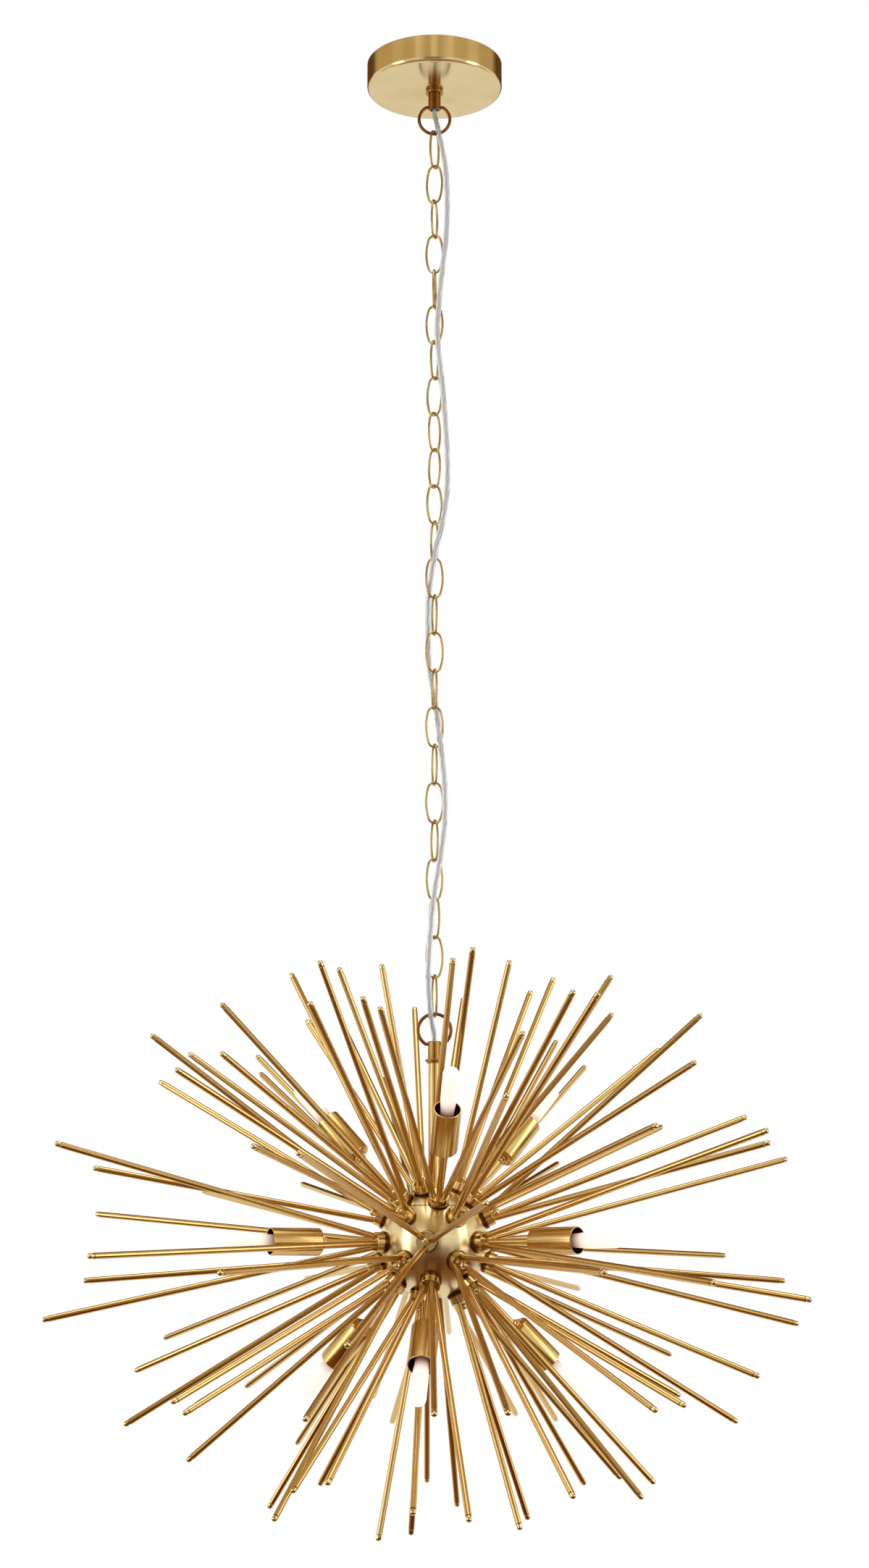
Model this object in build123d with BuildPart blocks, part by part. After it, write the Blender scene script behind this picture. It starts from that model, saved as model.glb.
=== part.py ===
from build123d import *
import os
from math import asin, atan2, cos, degrees, radians, sin, sqrt, tan

# Pendant light: a ceiling canopy, a chain with a clear cord, and a burst of rods round a ball hub.
# Millimetres, +Z up, origin where the canopy's axis meets the ceiling, viewer on the -Y side.

# Fits and seats
thread_gap = 0.05
pin_gap = 0.05
slip_gap = 0.3
assembly_gap = 2.0

# Canopy
canopy_diameter = 130.0
canopy_depth = 26.0
canopy_wall = 1.2
canopy_edge_radius = 4.0

# Crossbar and the fittings on it, inside the canopy
crossbar_length = 112.0
crossbar_width = 22.0
crossbar_thickness = 2.0
slot_spacing = 70.0
slot_length = 18.0
slot_width = 5.0
nipple_diameter = 9.6
nipple_bore = 6.8
thread_depth = 4.0
locknut_across = 14.0
locknut_height = 3.0
block_length = 12.0
block_width = 24.0
block_height = 12.0
block_edge = 0.8
block_port = 3.2
block_port_spacing = 7.5
earth_head_diameter = 7.0
earth_head_height = 2.4
earth_shank_diameter = 4.0

# Collars, cups and rings at both ends of the chain
collar_diameter = 17.0
collar_height = 3.5
collar_lip_height = 2.0
collar_bead_diameter = 14.2
collar_round = 0.7
cup_diameter = 12.0
cup_bore = 7.0
cup_length = 16.2
cup_chamfer = 0.6
pin_inset = 2.35
pin_depth = 2.2
ring_diameter = 32.6
ring_wire = 3.0
ring_hang = 12.5
ring_bend = 3.0

# Chain, with the slow twist of its links in degrees at chosen links
link_count = 24
link_length = 39.94
link_width = 18.0
link_wire = 2.1
link_end_radius = 6.0
link_gap = 0.2
twist_marks = [(1, 30), (5, 8), (13, 75), (19, 75), (22, 57), (24, 75)]

# Cord, by points down its route
cord_diameter = 5.0
cord_route = [
    (0, 0, -40.5), (0, -0.3, -49.5), (2, -4, -60), (4.5, -8.5, -75), (10.5, -8, -104),
    (12.5, -7, -140), (11.5, -7, -176), (7.5, -9.5, -211), (4, -11.5, -247), (2, -12.3, -282),
    (6.6, -10.4, -318), (9.4, -8.4, -353), (12, -5, -389), (12.6, -3.5, -424), (8.4, -9.8, -459),
    (3.6, -12.2, -478), (-0.8, -9, -498), (-6, 5.8, -531), (-6.2, 6, -567), (-4.8, 10.6, -602),
    (-0.8, 13, -620), (1.8, 9.2, -639), (5.5, -5.5, -673), (9.5, -8, -709), (10, -7.8, -744),
    (5.2, -11, -780), (-1, -12.2, -815), (-4, -11.8, -851), (-6, -10.8, -886), (-4.6, -9.2, -914),
    (-2.3, -4.8, -929.5), (0, -0.3, -941.4), (0, 0, -951),
]

# Stem and its nut inside the hub
stem_diameter = 11.0
stem_length = 110.5
stem_tail = 3.0
stem_washer_diameter = 20.0
stem_washer_thickness = 1.5
stem_nut_across = 17.0
stem_nut_height = 5.0

# Ball hub: a shell and a cap that plugs into its mouth
hub_radius = 48.6
hub_wall = 2.0
cap_seam_height = 31.8
cap_land_thickness = 4.0
cap_land_margin = 1.2
cap_skirt_depth = 4.5
cap_skirt_wall = 1.8

# Bosses on the hub, each drilled for three splayed rods
boss_diameter = 18.0
boss_face = 57.0
boss_chamfer = 0.3
boss_flange_diameter = 19.6
boss_flange_height = 2.6
boss_bore = 3.2
boss_seat_gap = 0.05
rod_circle = 5.7
rod_splay = 16.1
rod_sink = 3.0
screw_ball_diameter = 6.5
screw_neck_diameter = 4.2
screw_ball_height = 4.2
screw_dimple_diameter = 2.2
screw_dimple_depth = 0.4

# Rods, which shorten from the equator to the poles
equator_rod_length = 294.0
middle_rod_length = 256.0
slanted_rod_length = 229.0
polar_rod_length = 203.0
rod_diameter = 5.4
rod_cap_diameter = 5.0
rod_cap_length = 5.5
rod_dome_height = 2.1
rod_groove_width = 0.5
rod_groove_depth = 0.5

# Lamps: an arm from the boss, a stepped nut, a cup, a holder and a capsule bulb
arm_diameter = 5.5
arm_bore = 3.2
arm_length = 51.0
arm_thread = 2.5
nut_small_diameter = 9.0
nut_large_diameter = 14.0
nut_small_height = 2.2
nut_large_height = 2.6
socket_diameter = 24.0
socket_wall = 1.0
socket_length = 46.0
socket_chamfer = 1.4
holder_diameter = 17.0
holder_length = 22.0
holder_recess_diameter = 8.0
holder_chamfer = 1.0
pinch_width = 10.0
pinch_thickness = 5.0
pinch_length = 16.0
pinch_sink = 6.0
bulb_diameter = 14.0
bulb_length = 57.0
bulb_dome_height = 4.8
bulb_edge_radius = 3.4
bulb_neck_diameter = 11.2

# Rings of bosses: name, elevation, first azimuth, rod length, bosses with a lamp, turn of each boss
boss_rings = [
    ("top", 65.0, 96.0, polar_rod_length, (), (80, 20, 55)),
    ("upper", 46.0, 6.0, slanted_rod_length, (0, 2, 4), (15, 40, 5, 80, 5, 40)),
    ("upper_middle", 26.0, -34.5, middle_rod_length, (), (35, 10, 105, 15, 60, 45)),
    ("equator", 0.0, -7.5, equator_rod_length, (1, 3, 5), (75, 5, 95, 40, 70, 100)),
    ("lower_middle", -19.5, -34.5, middle_rod_length, (), (5, 0, 20, 30, 115, 20)),
    ("lower", -42.5, -5.5, slanted_rod_length, (0, 2, 4), (20, 5, 5, 65, 35, 30)),
    ("bottom", -65.0, 84.5, polar_rod_length, (), (0, 60, 80)),
]

# Heights worked out from the ceiling down
collar_top = -canopy_depth
upper_cup_top = collar_top - collar_height
upper_pin_z = upper_cup_top - cup_length + pin_inset
upper_ring_z = upper_pin_z - ring_hang
ring_middle = (ring_diameter - ring_wire) / 2
chain_top = upper_ring_z - ring_middle + ring_wire / 2 + link_gap + link_wire
link_pitch = link_length - 2 * link_wire - link_gap
chain_bottom = chain_top - (link_count - 1) * link_pitch - link_length
lower_ring_z = chain_bottom + link_wire + link_gap + ring_wire / 2 - ring_middle
lower_pin_z = lower_ring_z - ring_hang
lower_cup_bottom = lower_pin_z + pin_inset - cup_length
stem_top = lower_cup_bottom - collar_height
hub_z = stem_top - stem_length - hub_radius
cap_land_z = hub_z + hub_radius - cap_land_thickness
stem_bottom = cap_land_z - stem_washer_thickness - stem_nut_height - stem_tail
socket_base = boss_face + arm_length
socket_floor = socket_base + socket_wall
holder_top = socket_floor + holder_length
pinch_base = holder_top - pinch_sink
bulb_base = pinch_base + pinch_length


# Upright plane through the axis, with its own Y up or down
def upright(z, down=False):
    return Plane(origin=(0, 0, z), x_dir=(1, 0, 0), z_dir=(0, 1 if down else -1, 0))


# One plane for each boss of a ring: Z out through the boss, X towards its first rod
def boss_planes(elevation, first_azimuth, turns):
    planes = []
    for index, turn in enumerate(turns):
        tilt = radians(elevation)
        bearing = radians(first_azimuth + index * 360 / len(turns))
        out = Vector(cos(tilt) * sin(bearing), -cos(tilt) * cos(bearing), sin(tilt))
        right = Vector(cos(bearing), sin(bearing), 0)
        first_rod = out.cross(right) * cos(radians(turn)) + right * sin(radians(turn))
        planes.append(Plane(origin=(0, 0, hub_z), x_dir=first_rod, z_dir=out))
    return planes


# Copies of one piece, one on each plane
def pattern(piece, planes):
    with BuildPart() as copies:
        with Locations(*[plane.location for plane in planes]):
            add(piece.part)
    return copies


# Canopy: a turned dish with a rounded edge, open towards the ceiling
with BuildPart() as canopy:
    with BuildSketch(Plane.XZ):
        with BuildLine():
            rim = canopy_diameter / 2
            hole = nipple_diameter / 2 + slip_gap
            outside = FilletPolyline(
                (rim, 0), (rim, -canopy_depth), (hole, -canopy_depth), radius=canopy_edge_radius
            )
            inside = FilletPolyline(
                (hole, canopy_wall - canopy_depth),
                (rim - canopy_wall, canopy_wall - canopy_depth),
                (rim - canopy_wall, 0),
                radius=canopy_edge_radius - canopy_wall,
            )
            Line(outside @ 1, inside @ 0)
            Line(inside @ 1, outside @ 0)
        make_face()
    revolve(axis=Axis.Z)

# Crossbar: a flat strip against the ceiling, with two slots for the ceiling screws
earth_x = -(locknut_across / 2 + assembly_gap + earth_head_diameter / 2)
with BuildPart() as crossbar:
    with BuildSketch():
        SlotOverall(crossbar_length, crossbar_width)
        with Locations((slot_spacing / 2, 0), (-slot_spacing / 2, 0)):
            SlotOverall(slot_length, slot_width, mode=Mode.SUBTRACT)
        Circle(nipple_diameter / 2 + thread_gap, mode=Mode.SUBTRACT)
        with Locations((earth_x, 0)):
            Circle(earth_shank_diameter / 2 + thread_gap, mode=Mode.SUBTRACT)
    extrude(amount=-crossbar_thickness)

# Nipple: the threaded tube that carries the light
nipple_length = canopy_depth + collar_height + thread_depth
with BuildPart() as nipple:
    with BuildSketch():
        Circle(nipple_diameter / 2)
        Circle(nipple_bore / 2, mode=Mode.SUBTRACT)
    extrude(amount=-nipple_length)

# Locknut under the crossbar
with BuildPart() as nipple_locknut:
    with BuildSketch(Plane.XY.offset(-crossbar_thickness)):
        RegularPolygon(locknut_across / 2, 6, major_radius=False, rotation=30)
        Circle(nipple_diameter / 2 + thread_gap, mode=Mode.SUBTRACT)
    extrude(amount=-locknut_height)

# Terminal block under the crossbar, with three wire ports from end to end
block_x = locknut_across / 2 + assembly_gap + block_length / 2
with BuildPart() as terminal_block:
    with BuildSketch(Plane.XY.offset(-crossbar_thickness)):
        with Locations((block_x, 0)):
            Rectangle(block_length, block_width)
    extrude(amount=-block_height)
    fillet(terminal_block.edges().filter_by(Axis.Z), radius=block_edge)
    with BuildSketch(Plane.YZ.offset(block_x)):
        with Locations((0, -crossbar_thickness - block_height / 2)):
            with GridLocations(block_port_spacing, 0, 3, 1):
                Circle(block_port / 2)
    extrude(amount=block_length, both=True, mode=Mode.SUBTRACT)

# Earth screw, from below through the crossbar
with BuildPart() as earth_screw:
    with BuildSketch():
        with Locations((earth_x, 0)):
            Circle(earth_shank_diameter / 2)
    extrude(amount=-crossbar_thickness)
    with BuildSketch(Plane.XY.offset(-crossbar_thickness)):
        with Locations((earth_x, 0)):
            Circle(earth_head_diameter / 2)
    extrude(amount=-earth_head_height)


# Collar: a ring nut with a wide round lip against the cup and a narrower bead behind it
def make_collar(face):
    with BuildPart() as collar:
        with BuildSketch(face):
            with BuildLine():
                hole = nipple_diameter / 2 + thread_gap
                lip = collar_diameter / 2
                bead = collar_bead_diameter / 2
                bead_height = collar_height - collar_lip_height
                edge = min(collar_round, 0.4 * bead_height, 0.4 * collar_lip_height, 0.5 * (lip - bead))
                outline = FilletPolyline(
                    (hole, 0), (lip, 0), (lip, collar_lip_height), (bead, collar_lip_height),
                    (bead, collar_height), (hole, collar_height), radius=[edge, edge, 0.5 * edge, edge],
                )
                Line(outline @ 1, outline @ 0)
            make_face()
        revolve(axis=Axis.Z)
    return collar


upper_collar = make_collar(upright(upper_cup_top))
lower_collar = make_collar(upright(lower_cup_bottom, down=True))


# Cup: a short tube, threaded at the collar and cross drilled for the ring's pins near its mouth
def make_cup(face, pin_z):
    with BuildPart() as cup:
        with BuildSketch(face):
            with BuildLine():
                wall = cup_diameter / 2
                counterbore = nipple_diameter / 2 + thread_gap
                Polyline(
                    (counterbore, 0), (wall, 0), (wall, cup_length - cup_chamfer),
                    (wall - cup_chamfer, cup_length), (cup_bore / 2, cup_length),
                    (cup_bore / 2, thread_depth), (counterbore, thread_depth), close=True,
                )
            make_face()
        revolve(axis=Axis.Z)
        with BuildSketch(Plane.YZ):
            with Locations((0, pin_z)):
                Circle(ring_wire / 2 + pin_gap)
        extrude(amount=cup_diameter, both=True, mode=Mode.SUBTRACT)
    return cup


upper_cup = make_cup(upright(upper_cup_top, down=True), upper_pin_z)
lower_cup = make_cup(upright(lower_cup_bottom), lower_pin_z)


# Ring: one bent wire, nearly a full circle, with its ends turned in as pins
def make_ring(face):
    bend_height = ring_hang - ring_bend
    bend_x = sqrt((ring_middle - ring_bend) ** 2 - bend_height**2)
    pin_end = cup_diameter / 2 - pin_depth
    shoulder = degrees(atan2(bend_height, bend_x))
    with BuildPart() as ring:
        with BuildLine(face) as wire:
            Line((pin_end, ring_hang), (bend_x, ring_hang))
            CenterArc((bend_x, bend_height), ring_bend, 90, shoulder - 90)
            CenterArc((0, 0), ring_middle, shoulder, -180 - 2 * shoulder)
            CenterArc((-bend_x, bend_height), ring_bend, 180 - shoulder, shoulder - 90)
            Line((-bend_x, ring_hang), (-pin_end, ring_hang))
        with BuildSketch(Plane(origin=wire.line @ 0, z_dir=wire.line % 0)):
            Circle(ring_wire / 2)
        sweep()
    return ring


upper_ring = make_ring(upright(upper_ring_z))
lower_ring = make_ring(upright(lower_ring_z, down=True))

# One link: an oval of four tangent arcs, two long sides and two tight ends, bent from one wire
link_half = (link_length - link_wire) / 2
link_side = (link_width - link_wire) / 2
end_centre = link_half - link_end_radius
side_radius = (link_side**2 + end_centre**2 - link_end_radius**2) / (2 * (link_side - link_end_radius))
side_centre = side_radius - link_side
side_angle = degrees(atan2(end_centre, side_centre))
link_ends = []
for corner in (side_angle, 180 - side_angle, 180 + side_angle, -side_angle):
    along = Vector(-sin(radians(corner)), 0, cos(radians(corner)))
    spoke = Vector(cos(radians(corner)), 0, sin(radians(corner)))
    top_or_bottom = end_centre if sin(radians(corner)) > 0 else -end_centre
    start = Vector(0, 0, top_or_bottom) + spoke * link_end_radius
    link_ends.append(Plane(origin=start, x_dir=spoke, z_dir=along))
with BuildPart() as link:
    with BuildSketch(link_ends[0]):
        Circle(link_wire / 2)
    revolve(axis=Axis((0, 0, end_centre), (0, -1, 0)), revolution_arc=180 - 2 * side_angle)
    with BuildSketch(link_ends[1]):
        Circle(link_wire / 2)
    revolve(axis=Axis((side_centre, 0, 0), (0, -1, 0)), revolution_arc=2 * side_angle)
    with BuildSketch(link_ends[2]):
        Circle(link_wire / 2)
    revolve(axis=Axis((0, 0, -end_centre), (0, -1, 0)), revolution_arc=180 - 2 * side_angle)
    with BuildSketch(link_ends[3]):
        Circle(link_wire / 2)
    revolve(axis=Axis((-side_centre, 0, 0), (0, -1, 0)), revolution_arc=2 * side_angle)


# Slow twist of the chain at a link, between the marked links
def link_twist(number):
    for (low, low_twist), (high, high_twist) in zip(twist_marks, twist_marks[1:]):
        if number <= high:
            return low_twist + (high_twist - low_twist) * (number - low) / (high - low)
    return twist_marks[-1][1]


# Chain: each link a quarter turn from the last, less the slow twist
link_places = []
for number in range(1, link_count + 1):
    link_z = chain_top - link_length / 2 - (number - 1) * link_pitch
    quarter = 90 if number % 2 else 0
    link_places.append(Location((0, 0, link_z), (0, 0, quarter - link_twist(number))))
with BuildPart() as chain:
    with Locations(*link_places):
        add(link.part)

# Cord: straight runs joined by the largest tangent arcs that they allow
route = [Vector(*point) for point in cord_route]
cord_radii = []
for before, here, after in zip(route, route[1:], route[2:]):
    shorter = min((here - before).length, (after - here).length)
    half_turn = radians((here - before).get_angle(after - here) / 2)
    cord_radii.append(0.45 * shorter / tan(half_turn))
with BuildPart() as cord:
    with BuildLine():
        cord_path = FilletPolyline(*route, radius=cord_radii)
    with BuildSketch(Plane(origin=cord_path @ 0, z_dir=cord_path % 0)):
        cord_section = Circle(cord_diameter / 2)
    sweep()
print("cord radii", [round(radius) for radius in cord_radii])
print("cord length", round(cord_path.length, 1))
print("cord volume over section times length", cord.part.volume / (cord_section.area * cord_path.length))

# Stem: a tube with a threaded neck through the collar into the lower cup
with BuildPart() as stem:
    with BuildSketch(upright(0)):
        with BuildLine():
            neck_top = stem_top + collar_height + thread_depth
            Polyline(
                (nipple_bore / 2, stem_bottom), (stem_diameter / 2, stem_bottom),
                (stem_diameter / 2, stem_top), (nipple_diameter / 2, stem_top),
                (nipple_diameter / 2, neck_top), (nipple_bore / 2, neck_top), close=True,
            )
        make_face()
    revolve(axis=Axis.Z)

# Washer and nut on the stem, under the land of the hub cap
with BuildPart() as stem_washer:
    with BuildSketch(Plane.XY.offset(cap_land_z)):
        Circle(stem_washer_diameter / 2)
        Circle(stem_diameter / 2 + thread_gap, mode=Mode.SUBTRACT)
    extrude(amount=-stem_washer_thickness)
with BuildPart() as stem_nut:
    with BuildSketch(Plane.XY.offset(cap_land_z - stem_washer_thickness)):
        RegularPolygon(stem_nut_across / 2, 6, major_radius=False)
        Circle(stem_diameter / 2 + thread_gap, mode=Mode.SUBTRACT)
    extrude(amount=-stem_nut_height)

# Planes of all bosses, by the part of the hub that they sit on and by what they carry
shell_planes = []
cap_planes = []
plain_planes = []
lamp_planes = []
for name, elevation, first_azimuth, length, lamps, turns in boss_rings:
    on_cap = hub_radius * sin(radians(elevation)) > cap_seam_height
    for index, plane in enumerate(boss_planes(elevation, first_azimuth, turns)):
        (cap_planes if on_cap else shell_planes).append(plane)
        (lamp_planes if index in lamps else plain_planes).append(plane)


# Radius of a ball at a height above its centre
def ball_radius(radius, height):
    return sqrt(radius**2 - height**2)


# Angle from the horizontal to a point of a ball at a height above its centre
def ball_angle(radius, height):
    return degrees(asin(height / radius))


# Wire and screw holes through the wall of the hub, one under each boss
def drill_wall(planes):
    with Locations(*[plane.offset(hub_radius - 3 * hub_wall).location for plane in planes]):
        Cylinder(
            boss_bore / 2, 4 * hub_wall, align=(Align.CENTER, Align.CENTER, Align.MIN), mode=Mode.SUBTRACT
        )


# Hub shell: a ball cut level at the seam
hub_inside = hub_radius - hub_wall
with BuildPart() as hub_shell:
    with BuildSketch(upright(hub_z)):
        with BuildLine():
            outer = CenterArc((0, 0), hub_radius, -90, 90 + ball_angle(hub_radius, cap_seam_height))
            inner = CenterArc((0, 0), hub_inside, -90, 90 + ball_angle(hub_inside, cap_seam_height))
            Line(outer @ 0, inner @ 0)
            Line(outer @ 1, inner @ 1)
        make_face()
    revolve(axis=Axis.Z)
    drill_wall(shell_planes)

# Hub cap: the crown of the ball, with a skirt inside the shell's mouth and a land for the stem nut
skirt_radius = ball_radius(hub_inside, cap_seam_height) - thread_gap
skirt_inside = skirt_radius - cap_skirt_wall
land_radius = stem_washer_diameter / 2 + cap_land_margin
land_height = hub_radius - cap_land_thickness
land_corner = sqrt(hub_inside**2 - land_radius**2)
with BuildPart() as hub_cap:
    with BuildSketch(upright(hub_z)):
        with BuildLine():
            stem_hole = stem_diameter / 2 + thread_gap
            crown_top = sqrt(hub_radius**2 - stem_hole**2)
            seam_angle = ball_angle(hub_radius, cap_seam_height)
            crown_angle = ball_angle(hub_radius, crown_top)
            crown = CenterArc((0, 0), hub_radius, seam_angle, crown_angle - seam_angle)
            skirt_root = sqrt(hub_inside**2 - skirt_inside**2)
            root_angle = ball_angle(hub_inside, skirt_root)
            vault_angle = ball_angle(hub_inside, land_corner)
            vault = CenterArc((0, 0), hub_inside, root_angle, vault_angle - root_angle)
            skirt_end = cap_seam_height - cap_skirt_depth
            Polyline(
                crown @ 0, (skirt_radius, cap_seam_height), (skirt_radius, skirt_end),
                (skirt_inside, skirt_end), vault @ 0,
            )
            Polyline(vault @ 1, (land_radius, land_height), (stem_hole, land_height), crown @ 1)
        make_face()
    revolve(axis=Axis.Z)
    drill_wall(cap_planes)

# Feet of the three rods in a boss: planes at the bottoms of the drilled holes, Z along the rods
rod_feet = []
for clock in (0, 120, 240):
    spoke = Vector(cos(radians(clock)), sin(radians(clock)), 0)
    lean = spoke * sin(radians(rod_splay)) + Vector(0, 0, cos(radians(rod_splay)))
    foot = spoke * rod_circle + Vector(0, 0, boss_face) - lean * rod_sink
    rod_feet.append(Plane(origin=foot, x_dir=spoke.cross(lean), z_dir=lean))

# One boss: a flanged button, hollowed to sit on the ball and drilled for its rods
boss_seat = hub_radius + boss_seat_gap
with BuildPart() as boss:
    with BuildSketch(Plane.XZ):
        with BuildLine():
            bore = boss_bore / 2
            flange = boss_flange_diameter / 2
            side = boss_diameter / 2
            bore_angle = degrees(asin(bore / boss_seat))
            flange_angle = degrees(asin(flange / boss_seat))
            seat = CenterArc((0, 0), boss_seat, 90 - bore_angle, bore_angle - flange_angle)
            flange_top = (seat @ 1).Y + boss_flange_height
            Polyline(
                seat @ 1, (flange, flange_top), (side, flange_top), (side, boss_face - boss_chamfer),
                (side - boss_chamfer, boss_face), (bore, boss_face), seat @ 0,
            )
        make_face()
    revolve(axis=Axis.Z)
    with Locations(*[foot.location for foot in rod_feet]):
        Cylinder(
            rod_diameter / 2 + thread_gap, 2 * rod_sink,
            align=(Align.CENTER, Align.CENTER, Align.MIN), mode=Mode.SUBTRACT,
        )
rod_bosses = pattern(boss, plain_planes)
socket_bosses = pattern(boss, lamp_planes)

# Ball headed screw through each plain boss into the hub wall
with BuildPart() as boss_screw:
    with BuildSketch(Plane.XZ):
        with BuildLine():
            ball = screw_ball_diameter / 2
            neck = screw_neck_diameter / 2
            shank = boss_bore / 2 - thread_gap
            dimple = screw_dimple_diameter / 2
            ball_z = boss_face + screw_ball_height
            neck_angle = -degrees(asin(ball_radius(ball, neck) / ball))
            dimple_angle = degrees(asin(ball_radius(ball, dimple) / ball))
            head = CenterArc((0, ball_z), ball, neck_angle, dimple_angle - neck_angle)
            dimple_z = ball_z + ball_radius(ball, dimple) - screw_dimple_depth
            Polyline(
                head @ 1, (dimple, dimple_z), (0, dimple_z), (0, hub_inside - hub_wall / 2),
                (shank, hub_inside - hub_wall / 2), (shank, boss_face), (neck, boss_face), head @ 0,
            )
        make_face()
    revolve(axis=Axis.Z)
boss_screws = pattern(boss_screw, plain_planes)


# One rod along +Z from the bottom of its hole, with a groove and a domed plug at its tip
def make_rod(length):
    with BuildPart() as rod:
        with BuildSketch(Plane.XZ):
            with BuildLine():
                body = rod_diameter / 2
                cap = rod_cap_diameter / 2
                tip = rod_sink + length
                shoulder = tip - rod_cap_length
                neck_r = cap - rod_groove_depth
                cap_start = shoulder + rod_groove_width
                dome_r = (cap**2 + rod_dome_height**2) / (2 * rod_dome_height)
                dome_angle = degrees(asin((dome_r - rod_dome_height) / dome_r))
                dome = CenterArc((0, tip - dome_r), dome_r, dome_angle, 90 - dome_angle)
                Polyline(
                    dome @ 1, (0, 0), (body, 0), (body, shoulder), (neck_r, shoulder),
                    (neck_r, cap_start), (cap, cap_start), dome @ 0,
                )
            make_face()
        revolve(axis=Axis.Z)
    return rod


# Rods of each ring of bosses
rod_groups = {}
for name, elevation, first_azimuth, length, lamps, turns in boss_rings:
    rod = make_rod(length)
    spots = []
    for plane in boss_planes(elevation, first_azimuth, turns):
        for foot in rod_feet:
            spots.append(Plane(plane.location * foot.location))
    rod_groups[name + "_rods"] = pattern(rod, spots)

# Lamp arm: a tube from the boss through the nut and the floor of the cup
with BuildPart() as arm:
    with BuildSketch(Plane.XY.offset(boss_face)):
        Circle(arm_diameter / 2)
        Circle(arm_bore / 2, mode=Mode.SUBTRACT)
    extrude(amount=arm_length + socket_wall + arm_thread)
socket_arms = pattern(arm, lamp_planes)

# Stepped nut under the cup
with BuildPart() as nut:
    with BuildSketch(Plane.XY.offset(socket_base)):
        Circle(nut_large_diameter / 2)
    extrude(amount=-nut_large_height)
    with BuildSketch(Plane.XY.offset(socket_base - nut_large_height)):
        Circle(nut_small_diameter / 2)
    extrude(amount=-nut_small_height)
    with BuildSketch(Plane.XY.offset(socket_base)):
        Circle(arm_diameter / 2 + thread_gap)
    extrude(amount=-nut_large_height - nut_small_height, mode=Mode.SUBTRACT)
socket_nuts = pattern(nut, lamp_planes)

# Lamp cup: a straight thin cup with a bevelled base
with BuildPart() as socket:
    with BuildSketch(Plane.XZ):
        with BuildLine():
            outer_r = socket_diameter / 2
            inner_r = outer_r - socket_wall
            floor_hole = arm_diameter / 2 + thread_gap
            rim_z = socket_base + socket_length
            inner_bevel = min(socket_chamfer, 0.4 * inner_r)
            Polyline(
                (floor_hole, socket_base), (outer_r - socket_chamfer, socket_base),
                (outer_r, socket_base + socket_chamfer), (outer_r, rim_z), (inner_r, rim_z),
                (inner_r, socket_floor + inner_bevel), (inner_r - inner_bevel, socket_floor),
                (floor_hole, socket_floor), close=True,
            )
        make_face()
    revolve(axis=Axis.Z)
socket_cups = pattern(socket, lamp_planes)

# Ceramic holder on the floor of the cup, recessed below for the arm and slotted above for the bulb
with BuildPart() as holder:
    with BuildSketch(Plane.XY.offset(socket_floor)):
        Circle(holder_diameter / 2)
    extrude(amount=holder_length)
    chamfer(holder.edges().group_by(Axis.Z)[-1], length=holder_chamfer)
    with BuildSketch(Plane.XY.offset(socket_floor)):
        Circle(holder_recess_diameter / 2)
    extrude(amount=arm_thread + assembly_gap, mode=Mode.SUBTRACT)
    with BuildSketch(Plane.XY.offset(holder_top)):
        Rectangle(pinch_width + 2 * pin_gap, pinch_thickness + 2 * pin_gap)
    extrude(amount=-pinch_sink, mode=Mode.SUBTRACT)
lampholders = pattern(holder, lamp_planes)

# Bulb pinch: a flat foot that stands in the holder's slot
with BuildPart() as pinch:
    with BuildSketch(Plane.XY.offset(pinch_base)):
        RectangleRounded(pinch_width, pinch_thickness, 0.2 * pinch_thickness)
    extrude(amount=pinch_length)
bulb_bases = pattern(pinch, lamp_planes)

# Bulb capsule: a frosted tube drawn in at the pinch, with a low crown and a round edge at the tip
with BuildPart() as capsule:
    with BuildSketch(Plane.XZ):
        with BuildLine():
            glass = bulb_diameter / 2
            throat = bulb_neck_diameter / 2
            shoulder_z = bulb_base + 2 * (glass - throat)
            dome_z = bulb_base + bulb_length - bulb_dome_height
            edge_r = min(bulb_edge_radius, 0.85 * bulb_dome_height, 0.49 * glass)
            edge_x = glass - edge_r
            crown_r = (edge_x**2 + bulb_dome_height**2 - edge_r**2) / (2 * (bulb_dome_height - edge_r))
            crown_z = bulb_base + bulb_length - crown_r
            meet = degrees(atan2(dome_z - crown_z, edge_x))
            tip_edge = CenterArc((edge_x, dome_z), edge_r, 0, meet)
            tip_crown = CenterArc((0, crown_z), crown_r, meet, 90 - meet)
            Polyline(tip_crown @ 1, (0, bulb_base), (throat, bulb_base), (glass, shoulder_z), tip_edge @ 0)
        make_face()
    revolve(axis=Axis.Z)
bulb_glass = pattern(capsule, lamp_planes)

# Every finished piece under its own name
pieces = {
    "canopy": canopy,
    "crossbar": crossbar,
    "nipple": nipple,
    "nipple_locknut": nipple_locknut,
    "terminal_block": terminal_block,
    "earth_screw": earth_screw,
    "upper_collar": upper_collar,
    "upper_cup": upper_cup,
    "upper_ring": upper_ring,
    "chain": chain,
    "cord": cord,
    "lower_ring": lower_ring,
    "lower_cup": lower_cup,
    "lower_collar": lower_collar,
    "stem": stem,
    "stem_washer": stem_washer,
    "stem_nut": stem_nut,
    "hub_shell": hub_shell,
    "hub_cap": hub_cap,
    "rod_bosses": rod_bosses,
    "socket_bosses": socket_bosses,
    "boss_screws": boss_screws,
    **rod_groups,
    "socket_arms": socket_arms,
    "socket_nuts": socket_nuts,
    "socket_cups": socket_cups,
    "lampholders": lampholders,
    "bulb_bases": bulb_bases,
    "bulb_glass": bulb_glass,
}
os.makedirs("parts", exist_ok=True)
for name, piece in pieces.items():
    piece.part.label = name
    export_step(piece.part, f"parts/{name}.step")
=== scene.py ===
import bmesh
import bpy
import math
from mathutils import Matrix, Vector


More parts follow.
